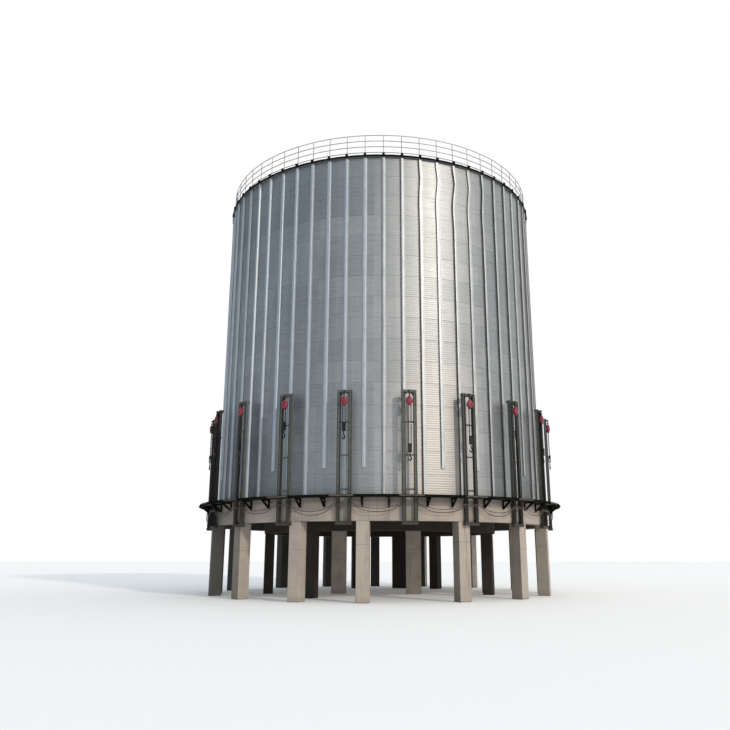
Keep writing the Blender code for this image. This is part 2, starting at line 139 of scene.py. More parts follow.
class Graph:
    # Builds the nodes of one tree
    def __init__(self, tree):
        self.tree = tree

    def node(self, kind, settings=None, values=None, out=0):
        made = self.tree.nodes.new(kind)
        for name, value in (settings or {}).items():
            if name == "stops":
                self.setStops(made.color_ramp, value)
            else:
                setattr(made, name, value)
        for key, value in (values or {}).items():
            socket = made.inputs[key]
            if isinstance(value, Wire):
                self.tree.links.new(value.socket, socket)
            else:
                socket.default_value = value
        return Wire(self, made.outputs[out])

    def setStops(self, ramp, stops):
        while len(ramp.elements) > 1:
            ramp.elements.remove(ramp.elements[-1])
        ramp.elements[0].position, ramp.elements[0].color = stops[0][0], (*stops[0][1], 1)
        for place, colour in stops[1:]:
            ramp.elements.new(place).color = (*colour, 1)

    def split(self, vector):
        parts = self.tree.nodes.new("ShaderNodeSeparateXYZ")
        self.tree.links.new(vector.socket, parts.inputs[0])
        return [Wire(self, socket) for socket in parts.outputs]

    def vector(self, x, y, z):
        return self.node("ShaderNodeCombineXYZ", {}, {0: x, 1: y, 2: z})

    def mix(self, factor, first, second, blend="MIX"):
        # Colours only, each a wire or its red, green and blue
        first, second = (side if isinstance(side, Wire) else (*side, 1) for side in (first, second))
        return self.node("ShaderNodeMix", {"data_type": "RGBA", "blend_type": blend},
                         {0: factor, 6: first, 7: second}, out=2)

    def cover(self, body, layers, **masks):
        # Lays named colours over a finish in turn, each through its mask and at its own strength
        for name, mask in masks.items():
            tint, strength = layers[name]
            body = self.mix(mask * strength, body, tint)
        return body

    def noise(self, vector, scale, detail=3.0, roughness=0.55):
        return self.node("ShaderNodeTexNoise", {}, {"Vector": vector, "Scale": scale, "Detail": detail,
                                                    "Roughness": roughness})

    def stretched(self, vector, scale):
        return self.node("ShaderNodeVectorMath", {"operation": "MULTIPLY"}, {0: vector, 1: scale})

    def chance(self, number):
        # The same random value wherever the number is the same
        return self.node("ShaderNodeTexWhiteNoise", {"noise_dimensions": "1D"}, {"W": number})

    def faceValue(self, name):
        return self.node("ShaderNodeAttribute", {"attribute_name": name}, out=2)

    def surface(self, shader, kind):
        output = self.tree.nodes.new(kind)
        self.tree.links.new(shader.socket, output.inputs["Surface"])


class Spot:
    # Where a point of a finish is: its object coordinates, and its place round the silo
    def __init__(self, graph):
        self.graph = graph
        self.place = graph.node("ShaderNodeTexCoord", out="Object")
        self.x, self.y, self.z = graph.split(self.place)

    def out(self):
        return (self.x * self.x + self.y * self.y) ** 0.5

    def bearing(self):
        # 0 to 360 from the front
        angle = self.graph.node("ShaderNodeMath", {"operation": "ARCTAN2"}, {0: self.x, 1: -self.y})
        return (angle * (180 / math.pi) + 360).wrap(360)

    def inArc(self, start, end, soft):
        # 1 between two bearings, here -180 to 180, easing to 0 over some degrees outside them
        signed = (self.bearing() + 180).wrap(360) - 180
        return signed.ramp(start - soft, start) * signed.ramp(end, end + soft, 1.0, 0.0)

    def fromFrame(self):
        # Metres to either side of the nearest hoist frame's middle, and metres out along its bearing
        bays = (self.bearing() - frameBearing(0) + 360) / frameStep
        angle = ((bays + 0.5).fract() * frameStep - frameStep * 0.5) * perDegree
        out = self.out()
        return (out * angle.sine() - silo["frameShift"]).size(), out * angle.cosine()


def startMaterial(name):
    made = bpy.data.materials.new(name)
    made.use_nodes = True
    made.node_tree.nodes.clear()
    graph = Graph(made.node_tree)
    graph.made = made
    return graph, Spot(graph)


def finishMaterial(graph, body, roughness, metallic=0.0, bump=None, more=None):
    # A bump is its height, strength and distance
    values = {"Base Color": body, "Roughness": roughness, "Metallic": metallic, **(more or {})}
    if bump:
        named = dict(zip(("Height", "Strength", "Distance"), bump))
        values["Normal"] = graph.node("ShaderNodeBump", {}, named)
    graph.surface(graph.node("ShaderNodeBsdfPrincipled", {}, values), "ShaderNodeOutputMaterial")
    return graph.made


def sheetSteel():
    # Corrugated sheet: each sheet has its own tone, with fine spangle, streaks and a painted shadow line
    # under each lap
    look = {"base": (0.405, 0.42, 0.43), "dark": (0.285, 0.305, 0.32), "roughness": 0.41, "metallic": 0.95,
            "shadeTier": 13, "lapTall": 0.018, "left": (-115, -4, 20), "dullBay": (9.5, 15, 3),
            "lowLeft": (-115, -44, 28), "highLeft": (-115, -58, 14), "dusty": (10, 26, 10)}
    layers = {"darkBatch": ((0.20, 0.22, 0.23), 0.26), "paleBatch": ((0.50, 0.515, 0.52), 0.10),
              "dull": ((0.26, 0.27, 0.28), 0.24), "grime": ((0.17, 0.18, 0.18), 0.38),
              "lap": ((0.10, 0.105, 0.11), 0.45), "low": ((0.11, 0.12, 0.125), 0.5),
              "high": ((0.11, 0.125, 0.14), 0.24), "dust": ((0.57, 0.525, 0.485), 0.52)}
    graph, spot = startMaterial("sheetSteel")
    around = ((spot.bearing() - silo["firstStiffener"] + 360 + bearingStep * 0.5) / 360).fract()
    bay = (around * silo["stiffeners"]).floor()
    sheet = (around * (silo["stiffeners"] / 3)).floor()
    rise = (spot.z - silo["wallFoot"]) / silo["tierHeight"]
    tier = rise.floor()
    ownTone = graph.node("ShaderNodeTexWhiteNoise", {"noise_dimensions": "2D"},
                         {"Vector": graph.vector(sheet * 1.37, tier * 2.11, 0.0)})
    streaks = graph.noise(graph.stretched(spot.place, (3.0, 3.0, 0.12)), 1.6, 5.0)
    clouds = graph.noise(spot.place, 0.35, 4.0)
    # Fine dark horizontal bands
    grime = graph.noise(graph.stretched(spot.place, (0.5, 0.5, 9.0)), 2.2, 5.0, 0.65)
    spangle = graph.node("ShaderNodeTexVoronoi", {}, {"Vector": spot.place, "Scale": 38.0}, out="Color")
    spangle = graph.node("ShaderNodeSeparateColor", {}, {0: spangle})
    tone = ownTone * 0.16 + graph.chance(bay * 0.73) * 0.10 + streaks * 0.38 + clouds * 0.28 + spangle * 0.10
    body = graph.mix(tone.ramp(0.25, 0.80), look["dark"], look["base"])
    # Painted shade darkens the upper tiers left of the middle, and the tier under them is paler
    left = spot.inArc(*look["left"])
    upper = tier.above(look["shadeTier"] - 0.5)
    # A painted reflection of the warm ground, low on the sheets right of the front
    dust = spot.z.ramp(6.5, 14.0, 1.0, 0.0) * spot.inArc(*look["dusty"])
    body = graph.cover(
        body, layers, darkBatch=left * upper, paleBatch=left * (tier.above(look["shadeTier"] - 1.5) - upper),
        # Painted shade darkens one bay right of the front
        dull=spot.inArc(*look["dullBay"]), grime=grime.ramp(0.50, 0.66),
        # Painted shadow under the lap of each tier
        lap=rise.fract().below(look["lapTall"]),
        # Painted shade low and high on the left of the front
        low=spot.z.ramp(6.0, 11.5, 1.0, 0.0) * spot.inArc(*look["lowLeft"]),
        high=spot.z.ramp(16.0, 19.5) * spot.inArc(*look["highLeft"]), dust=dust)
    rough = streaks * 0.10 + spangle * 0.05 + dust * 0.06 + look["roughness"]
    return finishMaterial(graph, body, rough, look["metallic"], (graph.noise(spot.place, 5.0), 0.10, 0.02))


def stiffenerSteel():
    # Heavier zinc on the folded stiffeners, paler and more matt than the sheets, with a painted reflection of
    # the cool sky at the left
    look = {"light": (0.52, 0.535, 0.545), "dull": (0.39, 0.405, 0.42), "metallic": 0.75,
            "left": (-110, -12, 18), "farLeft": (-110, -52, 16), "right": (12, 100, 18)}
    layers = {"cool": ((0.43, 0.50, 0.58), 0.55), "root": ((0.045, 0.045, 0.045), 0.85)}
    graph, spot = startMaterial("stiffenerSteel")
    mottle = graph.noise(graph.stretched(spot.place, (2.0, 2.0, 0.6)), 2.4, 5.0, 0.62)
    spangle = graph.noise(spot.place, 30.0, 2.0)
    body = graph.mix((mottle * 0.8 + spangle * 0.2).ramp(0.32, 0.62), look["dull"], look["light"])
    # The root faces, flange and flank on one side of each hat, get painted shade as they are turned from the
    # light; just left of the front it is weakest
    dirty = spot.inArc(*look["right"]) * 0.75 + spot.inArc(*look["farLeft"]) * 0.55 + 0.25
    body = graph.cover(body, layers, cool=spot.inArc(*look["left"]), root=graph.faceValue("root") * dirty)
    return finishMaterial(graph, body, mottle * 0.16 + 0.40, look["metallic"], (spangle, 0.08, 0.01))


def roofSteel():
    look = {"light": (0.50, 0.51, 0.52), "dull": (0.36, 0.37, 0.385), "metallic": 0.85}
    graph, spot = startMaterial("roofSteel")
    bay = ((spot.bearing() - silo["firstStiffener"]) / bearingStep).floor()
    clouds = graph.noise(spot.place, 0.8, 5.0)
    spangle = graph.noise(spot.place, 26.0, 2.0)
    tone = graph.chance(bay * 1.31) * 0.35 + clouds * 0.5 + spangle * 0.15
    body = graph.mix(tone.ramp(0.25, 0.75), look["dull"], look["light"])
    return finishMaterial(graph, body, clouds * 0.2 + 0.32, look["metallic"], (spangle, 0.08, 0.01))


def wornPaint(name, paint, worn, rust, roughness, rustFrom, metallic, gloss=0.5, extra=None):
    # Painted section steel with scuffs and rust in patches, and anything that the caller lays over them
    graph, spot = startMaterial(name)
    patches = graph.noise(spot.place, 2.2, 6.0, 0.65)
    fine = graph.noise(spot.place, 17.0, 4.0, 0.6)
    rusted = (patches * 0.7 + fine * 0.3).ramp(rustFrom, rustFrom + 0.10)
    body = graph.mix(rusted * 0.75, graph.mix(fine.ramp(0.45, 0.68), paint, worn), rust)
    if extra:
        body = extra(graph, spot, fine, body)
    return finishMaterial(graph, body, rusted * 0.25 + roughness, metallic, (fine, 0.15, 0.004),
                          {"Specular IOR Level": gloss})


def frameDirt(graph, spot, fine, body):
    # Dark flange edges, brown dirt under the walkway, painted shade that blackens the inner flanges and feet
    # at the right and darkens the frames right of the front, and painted shade that makes the left side
    # nearly black; the edges are metres from the middle of the frame
    look = {"outerEdge": 0.334, "innerEdge": 0.198, "innerEnd": 0.217, "oilyEnd": 0.268, "from": 9.765,
            "right": (30, 110, 18), "oilyArc": (21, 112, 8), "left": (-108, -62, 12)}
    layers = {"edges": ((0.016, 0.016, 0.015), 0.85), "shade": ((0.02, 0.022, 0.02), 0.35),
              "mud": ((0.050, 0.042, 0.032), 1.0), "oil": ((0.014, 0.015, 0.014), 1.0),
              "left": ((0.008, 0.010, 0.014), 0.88)}
    side, out = spot.fromFrame()
    foot = spot.z.below(silo["beamTop"])
    inside = side.above(look["innerEdge"])
    edges = inside * side.below(look["innerEnd"]) + side.above(look["outerEdge"]) * out.above(look["from"])
    oily = inside * side.below(look["oilyEnd"]) * 0.82 + foot * side.above(look["oilyEnd"]) * 0.6
    # Painted shade over the frames right of the front and over the frames at the left
    return graph.cover(body, layers, edges=edges, shade=spot.inArc(*look["right"]),
                       mud=foot * (fine.ramp(0.40, 0.60) * 0.5 + 0.35),
                       oil=oily * spot.inArc(*look["oilyArc"]), left=spot.inArc(*look["left"]))


def stepDirt(graph, spot, fine, body):
    # The step bars in front of the hoist frames are worn to a light brown
    look = {"brown": (0.12, 0.105, 0.088), "from": 10.252}
    out = spot.fromFrame()[1]
    return graph.mix(out.above(look["from"]) * (fine.ramp(0.35, 0.60) * 0.5 + 0.5), body, look["brown"])


def eaveUnderside(graph, spot, fine, body):
    # Between its lip and the shell the ring is bare zinc, a little grey from below
    look = {"zinc": (0.15, 0.155, 0.16), "lip": 9.258, "under": 22.28}
    return graph.mix(spot.out().below(look["lip"]) * spot.z.below(look["under"]), body, look["zinc"])


def enamelShade(graph, spot, drift, body):
    # The hoists at the left are in the dark with their frames
    look = {"shade": (0.03, 0.008, 0.012), "left": (-108, -62, 12)}
    return graph.mix(spot.inArc(*look["left"]) * 0.7, body, look["shade"])


def twoTone(name, first, second, grain, blend, roughness, metallic=0.0, bump=None, extra=None):
    # A plain finish that drifts from one colour to another
    graph, spot = startMaterial(name)
    drift = graph.noise(spot.place, *grain)
    body = graph.mix(drift.ramp(*blend), first, second)
    if extra:
        body = extra(graph, spot, drift, body)
    return finishMaterial(graph, body, drift * 0.2 + roughness, metallic, bump and (drift, *bump))


def castConcrete(name, light, mid, stain, damp=0.0, sheltered=False):
    # Cast concrete: board joints, blow holes, stains from the top edge, and painted shade where the silo
    # shelters it
    look = {"dampIn": 9.06, "dampOut": 9.50, "board": 0.61, "boardLine": 0.012, "columnOffset": 8.0,
            "columnStep": 22.5, "jointLow": 2.15, "jointSpread": 0.65, "jointHalf": 0.011, "firstSeam": -3.2,
            "seamStep": 24.0, "seamWide": 0.14, "mossHalf": 1.3, "mossOut": 9.5, "topShade": (4.36, 4.52),
            "leftColumns": (-96, -66, 12), "leftBeam": (-96, -66, 32), "roughness": 0.82}
    layers = {"drips": (stain, 0.65), "boards": (stain, 0.25), "splash": (stain, 0.35),
              "joints": (stain, 0.7), "grain": (light, 0.15), "shelter": ((0.030, 0.029, 0.024), 1.0),
              "damp": ((0.06, 0.052, 0.042), damp), "topShade": ((0.13, 0.118, 0.10), 0.6 * damp),
              "moss": ((0.20, 0.215, 0.18), 0.5 * damp), "leftColumns": ((0.085, 0.083, 0.07), damp),
              "leftBeam": ((0.12, 0.118, 0.108), 0.80 * damp)}
    graph, spot = startMaterial(name)
    clouds = graph.noise(spot.place, 0.9, 6.0, 0.6)
    grain = graph.noise(spot.place, 24.0, 4.0, 0.6)
    drips = graph.noise(graph.stretched(spot.place, (2.6, 2.6, 0.22)), 1.8, 5.0)
    holes = graph.node("ShaderNodeTexVoronoi", {"feature": "DISTANCE_TO_EDGE"},
                       {"Vector": spot.place, "Scale": 7.0})
    boards = (spot.z / look["board"]).fract().below(look["boardLine"])
    bearing = spot.bearing()
    onBeam = spot.z.above(silo["beamFoot"])
    # Each column has a cold joint at a height of its own, and the beam has upright seams
    ownLevel = graph.chance(((bearing + look["columnOffset"]) / look["columnStep"]).floor() * 1.7)
    joints = (spot.z - look["jointLow"] - ownLevel * look["jointSpread"]).size().below(look["jointHalf"])
    seams = ((bearing - look["firstSeam"] + 360) / look["seamStep"]).fract() * look["seamStep"]
    splash = (spot.z.ramp(0.05, 0.40, 1.0, 0.0) + spot.z.below(0.05)) * clouds.ramp(0.30, 0.60)
    body = graph.mix(clouds.ramp(0.38, 0.62), mid, light)
    body = graph.cover(body, layers, drips=drips.ramp(0.56, 0.74), boards=boards, splash=splash,
                       joints=joints + seams.below(look["seamWide"]) * onBeam, grain=grain.ramp(0.55, 0.75))
    out = spot.out()
    if sheltered:
        # The columns carry a painted shade for each face: how far it is turned from the light
        body = graph.cover(body, layers, shelter=graph.faceValue("shelter"))
    else:
        # Painted shade, darker towards the silo's axis
        body = graph.cover(body, layers, damp=out.ramp(look["dampIn"], look["dampOut"], 1.0, 0.0))
    # Green-grey run-off behind each hoist frame
    nearFrame = (((bearing - frameBearing(0) - 1.0 + frameStep * 0.5 + 360) / frameStep).fract() - 0.5).size()
    runOff = (nearFrame * frameStep).below(look["mossHalf"]) * onBeam * out.above(look["mossOut"])
    # Painted shade under the walkway at the top of the beam, and on the columns and the beam at the far left
    body = graph.cover(body, layers, topShade=spot.z.ramp(*look["topShade"]), moss=runOff,
                       leftColumns=spot.inArc(*look["leftColumns"]),
                       leftBeam=spot.inArc(*look["leftBeam"]) * spot.z.above(silo["beamFoot"] + 0.02))
    height = grain * 0.5 + clouds * 0.5 - boards * 0.6 + holes.ramp(0.0, 0.03) * 0.2
    return finishMaterial(graph, body, grain * 0.1 + look["roughness"], 0.0, (height, 0.35, 0.02))


def deckGrating():
    # Open bar grating seen as fine radial bars and cross rods, over darkness
    look = {"barsADegree": 4, "bar": 0.30, "rodsAMetre": 11.0, "rod": 0.22, "gap": (0.008, 0.008, 0.008),
            "steel": (0.05, 0.05, 0.048), "worn": (0.10, 0.095, 0.085), "metallic": 0.3}
    graph, spot = startMaterial("deckGrating")
    bars = (spot.bearing() * look["barsADegree"]).fract().below(look["bar"])
    rods = (spot.out() * look["rodsAMetre"]).fract().below(look["rod"])
    metal = 1 - (1 - bars) * (1 - rods)
    wear = graph.noise(spot.place, 5.0, 4.0)
    steel = graph.mix(wear.ramp(0.4, 0.7), look["steel"], look["worn"])
    body = graph.mix(metal, look["gap"], steel)
    return finishMaterial(graph, body, wear * 0.2 + 0.5, look["metallic"], (metal, 0.6, 0.01))


# Paints give paint, worn and rusty colours, then roughness, how rare rust is, metallic and gloss
finishes = {
    "sheet": sheetSteel(),
    "stiffener": stiffenerSteel(),
    "roof": roofSteel(),
    "walkway": wornPaint("walkwaySteel", (0.006, 0.006, 0.005), (0.016, 0.015, 0.013), (0.03, 0.02, 0.013),
                         0.75, 0.60, 0.0, 0.0, stepDirt),
    "grating": deckGrating(),
    "eave": wornPaint("eaveSteel", (0.008, 0.008, 0.008), (0.02, 0.02, 0.02), (0.03, 0.02, 0.014),
                      0.75, 0.66, 0.0, 0.0, eaveUnderside),
    "frame": wornPaint("frameSteel", (0.085, 0.092, 0.085), (0.175, 0.18, 0.165), (0.10, 0.08, 0.06),
                       0.6, 0.60, 0.05, 0.25, frameDirt),
    "bar": wornPaint("barSteel", (0.045, 0.040, 0.032), (0.095, 0.082, 0.068), (0.06, 0.042, 0.028),
                     0.65, 0.58, 0.0, 0.2),
    "block": wornPaint("blockIron", (0.010, 0.010, 0.010), (0.03, 0.03, 0.03), (0.05, 0.03, 0.02),
                       0.45, 0.66, 0.5),
    "rail": twoTone("railSteel", (0.30, 0.31, 0.32), (0.42, 0.43, 0.44), (6.0, 4.0), (0.35, 0.65), 0.4, 0.6,
                    (0.05, 0.002)),
    "concrete": castConcrete("castConcrete", (0.42, 0.36, 0.315), (0.355, 0.305, 0.265), (0.20, 0.17, 0.145),
                             0.85),
    "columnConcrete": castConcrete("columnConcrete", (0.43, 0.375, 0.325), (0.37, 0.32, 0.28),
                                   (0.21, 0.18, 0.15), 0.85, True),
    # Painted shade: the floor slab and inner frame under the silo are near-black concrete
    "innerConcrete": castConcrete("innerConcrete", (0.036, 0.028, 0.020), (0.026, 0.020, 0.015),
                                  (0.014, 0.010, 0.008)),
    "coreConcrete": castConcrete("coreConcrete", (0.44, 0.39, 0.33), (0.35, 0.31, 0.26), (0.17, 0.145, 0.12)),
    "enamel": twoTone("hoistEnamel", (0.245, 0.018, 0.036), (0.10, 0.014, 0.022), (9.0, 5.0), (0.50, 0.70),
                      0.28, extra=enamelShade),
    "chain": wornPaint("chainSteel", (0.03, 0.03, 0.03), (0.08, 0.075, 0.07), (0.10, 0.06, 0.04),
                       0.5, 0.62, 0.6),
    "cable": twoTone("cableSheath", (0.060, 0.048, 0.040), (0.13, 0.11, 0.09), (8.0, 4.0), (0.40, 0.65), 0.6),
}
print("finishes made")


def keep(piece, finish):
    piece.data.materials.clear()
    piece.data.materials.append(finishes[finish])
    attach(piece, "root")
    return piece


def newPiece(name, data):
    piece = bpy.data.objects.new(name, data)
    bpy.context.scene.collection.objects.link(piece)
    return piece


def pieceFromShape(name, shape, smooth=None):
    mesh = bpy.data.meshes.new(name)
    shape.to_mesh(mesh)
    shape.free()
    if smooth is not None:
        mesh.shade_smooth()
        mesh.set_sharp_from_angle(angle=rad(smooth))
    return newPiece(name, mesh)


def loft(shape, levels):
    # Walls between rings of corners and a cap on each end; gives back the walls, level by level
    count = len(levels[0])
    walls = [[shape.faces.new((lower[i], lower[(i + 1) % count], upper[(i + 1) % count], upper[i]))
              for i in range(count)] for lower, upper in zip(levels, levels[1:])]
    shape.faces.new(levels[0])
    shape.faces.new(levels[-1][::-1])
    return walls


def growTree(name, sizes):
    # A Geometry Nodes tree with a named input for each size, and one geometry output
    tree = bpy.data.node_groups.new(name, "GeometryNodeTree")
    tree.interface.new_socket("Geometry", in_out="OUTPUT", socket_type="NodeSocketGeometry")
    for label, value in sizes.items():
        kind = "NodeSocketInt" if isinstance(value, int) else "NodeSocketFloat"
        tree.interface.new_socket(label, in_out="INPUT", socket_type=kind).default_value = value
    graph = Graph(tree)
    entry = tree.nodes.new("NodeGroupInput")
    return graph, {label: Wire(graph, entry.outputs[label]) for label in sizes}


def endTree(graph, geometry, finish):
    whole = graph.node("GeometryNodeRealizeInstances", {}, {0: geometry})
    dressed = graph.node("GeometryNodeSetMaterial", {}, {0: whole, "Material": finishes[finish]})
    output = graph.tree.nodes.new("NodeGroupOutput")
    graph.tree.links.new(dressed.socket, output.inputs[0])
    return graph.tree


def runTree(name, tree, sizes):
    # Gives the tree its sizes, and turns what it makes into a plain mesh piece
    holder = newPiece(name + "Maker", bpy.data.meshes.new(name + "Maker"))
    grow = holder.modifiers.new("Grow", "NODES")
    grow.node_group = tree
    for item in tree.interface.items_tree:
        if item.in_out == "INPUT":
            grow[item.identifier] = sizes[item.name]
    bpy.context.view_layer.update()
    seen = holder.evaluated_get(bpy.context.evaluated_depsgraph_get())
    mesh = bpy.data.meshes.new_from_object(seen)
    mesh.name = name
    bpy.data.objects.remove(holder, do_unlink=True)
    return newPiece(name, mesh)


def ringPlaces(graph, bearing, out, height, aside=0.0):
    angle = bearing * perDegree
    return graph.vector(out * angle.sine() + angle.cosine() * aside,
                        angle.sine() * aside - out * angle.cosine(), height)


def standAt(graph, count, places, shape, turn=None):
    # A copy of a shape at each of some places
    points = graph.node("GeometryNodePoints", {}, {"Count": count})
    placed = graph.node("GeometryNodeSetPosition", {}, {0: points, "Position": places})
    values = {"Points": placed, "Instance": shape}
    if turn:
        values["Rotation"] = turn
    return graph.node("GeometryNodeInstanceOnPoints", {}, values)


def standRound(graph, count, bearing, out, height, shape, aside=0.0, lean=0.0):
    # A copy at each bearing round the silo, turned to face out
    places = ringPlaces(graph, bearing, out, height, aside)
    return standAt(graph, count, places, shape, graph.vector(lean, 0.0, bearing * perDegree))


def circle(graph, sides, radius):
    return graph.node("GeometryNodeCurvePrimitiveCircle", {}, {"Resolution": sides, "Radius": radius})


def cylinder(graph, sides, radius, tall):
    return graph.node("GeometryNodeMeshCylinder", {"fill_type": "NGON"},
                      {"Vertices": sides, "Radius": radius, "Depth": tall})


def box(graph, wide, deep, tall):
    return graph.node("GeometryNodeMeshCube", {}, {"Size": graph.vector(wide, deep, tall)})


# Camera, floor and light
studio = {"floorSize": 400.0, "floorDrop": 0.002, "floorColour": (0.93, 0.93, 0.93), "floorGlow": 0.13,
          "glowColour": (1.0, 0.98, 0.95), "sunBearing": 37.6, "sunHeight": 26.0, "sunStrength": 1.32,
          "sunSoftness": 4.0, "sunColour": (1.0, 0.885, 0.735), "skyLeft": (0.41, 0.48, 0.54),
          "skyRight": (0.98, 0.965, 0.94), "sensor": 36, "lens": 36.2, "distance": 43.65, "eyeHeight": 2.09,
          "pitch": 14.5, "shift": -0.0201, "farthest": 1000}


def buildCamera():
    data = bpy.data.cameras.new("photoCamera")
    data.sensor_width = studio["sensor"]
    data.lens = studio["lens"]
    data.shift_x = studio["shift"]
    data.clip_end = studio["farthest"]
    camera = newPiece("photoCamera", data)
    camera.location = (0, -studio["distance"], studio["eyeHeight"])
    camera.rotation_euler = (rad(90 + studio["pitch"]), 0, 0)
    bpy.context.scene.camera = camera


def buildFloor():
    shape = bmesh.new()
    bmesh.ops.create_grid(shape, x_segments=1, y_segments=1, size=studio["floorSize"] / 2)
    bmesh.ops.translate(shape, vec=(0, 0, -studio["floorDrop"]), verts=shape.verts)
    floor = pieceFromShape("studioFloor", shape)
    graph = startMaterial("studioFloor")[0]
    glow = {"Emission Color": (*studio["glowColour"], 1), "Emission Strength": studio["floorGlow"]}
    floor.data.materials.append(finishMaterial(graph, (*studio["floorColour"], 1), 0.9, more=glow))


def buildSun():
    sun = bpy.data.lights.new("sun", "SUN")
    sun.energy = studio["sunStrength"]
    sun.angle = rad(studio["sunSoftness"])
    sun.color = studio["sunColour"]
    lamp = newPiece("sun", sun)
    high = rad(studio["sunHeight"])
    towards = polar(math.cos(high), studio["sunBearing"], math.sin(high))
    lamp.rotation_euler = towards.to_track_quat("Z", "Y").to_euler()


def buildSky():
    # Pale studio sky, cooler and darker on the left; the camera sees plain white behind the silo
    world = bpy.data.worlds.new("studioSky")
    world.use_nodes = True
    world.node_tree.nodes.clear()
    graph = Graph(world.node_tree)
    side, up = graph.split(graph.node("ShaderNodeTexCoord", out="Generated"))[::2]
    height = graph.node("ShaderNodeValToRGB", {"stops": [
        (0.0, (0.40, 0.38, 0.36)), (0.48, (0.55, 0.53, 0.51)), (0.52, (1.0, 0.99, 0.98)),
        (0.70, (0.90, 0.93, 0.96)), (1.0, (0.82, 0.88, 0.94))]}, {0: up * 0.5 + 0.5})
    across = graph.mix(side.ramp(-0.9, 0.5), studio["skyLeft"], studio["skyRight"])
    lit = graph.mix(1.0, height, across, "MULTIPLY")
    light = graph.node("ShaderNodeBackground", {}, {"Color": lit, "Strength": 1.0})
    backdrop = graph.node("ShaderNodeBackground", {}, {"Color": (1, 1, 1, 1), "Strength": 1.0})
    seen = graph.node("ShaderNodeLightPath", out="Is Camera Ray")
    shown = graph.node("ShaderNodeMixShader", {}, {0: seen, 1: light, 2: backdrop})
    graph.surface(shown, "ShaderNodeOutputWorld")
    bpy.context.scene.world = world
    bpy.context.scene.view_settings.view_transform = "Standard"


buildCamera()
buildFloor()
buildSun()
buildSky()
print("camera and studio made")

# Power cables of the hoists in swags along the beam: two rows, each in two lengths, as the CAD cords
cables = {"diameter": 0.036, "rows": ((4.36, 0.27), (4.29, 0.35)), "sagChange": 0.25, "sagWaves": 7,
          "sagFrom": 2, "bays": 10, "lead": 0.06, "flatness": 2.6, "out": 9.825, "near": 2.7, "clear": 0.3,
          "stepsABay": 24, "frameHalf": 0.35, "frameDeep": 0.22}


def swagPoint(bay, step, atFrame, sag):
    # Level in front of a frame's legs, and a hanging curve from leg to leg between the frames
    shift = math.degrees(silo["frameShift"] / silo["beamFace"])
    along = (step - frameStep / 2) / (frameStep / 2 - cables["near"])
    hang = max(0.0, 1 - abs(along) ** cables["flatness"])
    wave = 2 * math.pi * cables["sagWaves"] * (bay + cables["sagFrom"]) / silo["framesRound"]
    drop = sag * (1 + cables["sagChange"] * math.cos(wave)) * hang
    return polar(cables["out"], frameBearing(0) + shift + frameStep * bay + step, atFrame - drop)


def legSidePoint(number, side, height, clear):
    spot = Vector((silo["frameShift"] + side * (cables["frameHalf"] + clear),
                   -(silo["beamFace"] + cables["frameDeep"] / 2), height))
    return Matrix.Rotation(rad(frameBearing(number)), 3, "Z") @ spot


def cableRoute(first, atFrame, sag):
    end = first + cables["bays"]
    last = end % silo["framesRound"]
    margin = cables["near"] + cables["clear"]
    steps = [frameStep * number / cables["stepsABay"] for number in range(cables["stepsABay"])]
    route = [legSidePoint(first, 1, atFrame, clear) for clear in (silo["gap"], cables["lead"])]
    for bay in range(first, end):
        # The first and the last bay leave room for the leads
        low = margin if bay == first else -1
        high = frameStep - margin if bay == end - 1 else frameStep
        route += [swagPoint(bay, step, atFrame, sag) for step in steps if low < step < high]
    return route + [legSidePoint(last, -1, atFrame, clear) for clear in (cables["lead"], silo["gap"])]


def buildCables():
    number = 0
    for atFrame, sag in cables["rows"]:
        for first in range(0, silo["framesRound"], cables["bays"]):
            number += 1
            route = cableRoute(first, atFrame, sag)
            curve = bpy.data.curves.new(f"powerCable{number}", "CURVE")
            curve.dimensions = "3D"
            curve.bevel_depth = cables["diameter"] / 2
            curve.bevel_resolution = 3
            curve.use_fill_caps = True
            spline = curve.splines.new("POLY")
            spline.points.add(len(route) - 1)
            for point, spot in zip(spline.points, route):
                point.co = (*spot, 1)
            length = sum((b - a).length for a, b in zip(route, route[1:]))
            piece = keep(newPiece(curve.name, curve), "cable")
            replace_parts(piece, f"hoist_cable_{number}")


buildCables()
print("cables made")

# Corrugated shell, one piece for each wall panel of the frame
shell = {"panels": 6, "pitch": 0.11, "depth": 0.007, "ringsAWave": 4, "columns": 24, "thickness": 0.004,
         "lap": 0.005}
stiffenersAPanel = silo["stiffeners"] // shell["panels"]


def sheetTree(sizes):
    graph, given = growTree("Corrugated panel", sizes)
    sheet = graph.node("GeometryNodeMeshGrid", {}, {
        "Size X": 1.0, "Size Y": 1.0, "Vertices X": given["Columns"], "Vertices Y": given["Rings"]})
    across, up = graph.split(graph.node("GeometryNodeInputPosition"))[:2]
    rise = (given["Top"] - given["Foot"]) * (up + 0.5)
    wave = (rise / given["Pitch"] * (2 * math.pi)).cosine()
    lap = (rise / given["Tier"] + 0.0001).fract()
    out = given["Radius"] + given["Depth"] * 0.5 - given["Depth"] * wave * 0.5 + given["Lap"] * (1 - lap)
    bearing = given["Start"] + given["Sweep"] * (across + 0.5)
    places = ringPlaces(graph, bearing, out, given["Foot"] + rise)
    bent = graph.node("GeometryNodeSetPosition", {}, {0: sheet, "Position": places})
    smooth = graph.node("GeometryNodeSetShadeSmooth", {}, {0: bent, "Shade Smooth": True})
    return endTree(graph, smooth, "sheet")


def sharpenRim(mesh):
    # The cut edges of the sheet stay crisp once it has its thickness
    shape = bmesh.new()
    shape.from_mesh(mesh)
    for edge in shape.edges:
        edge.smooth = not edge.is_boundary
    shape.to_mesh(mesh)
    shape.free()


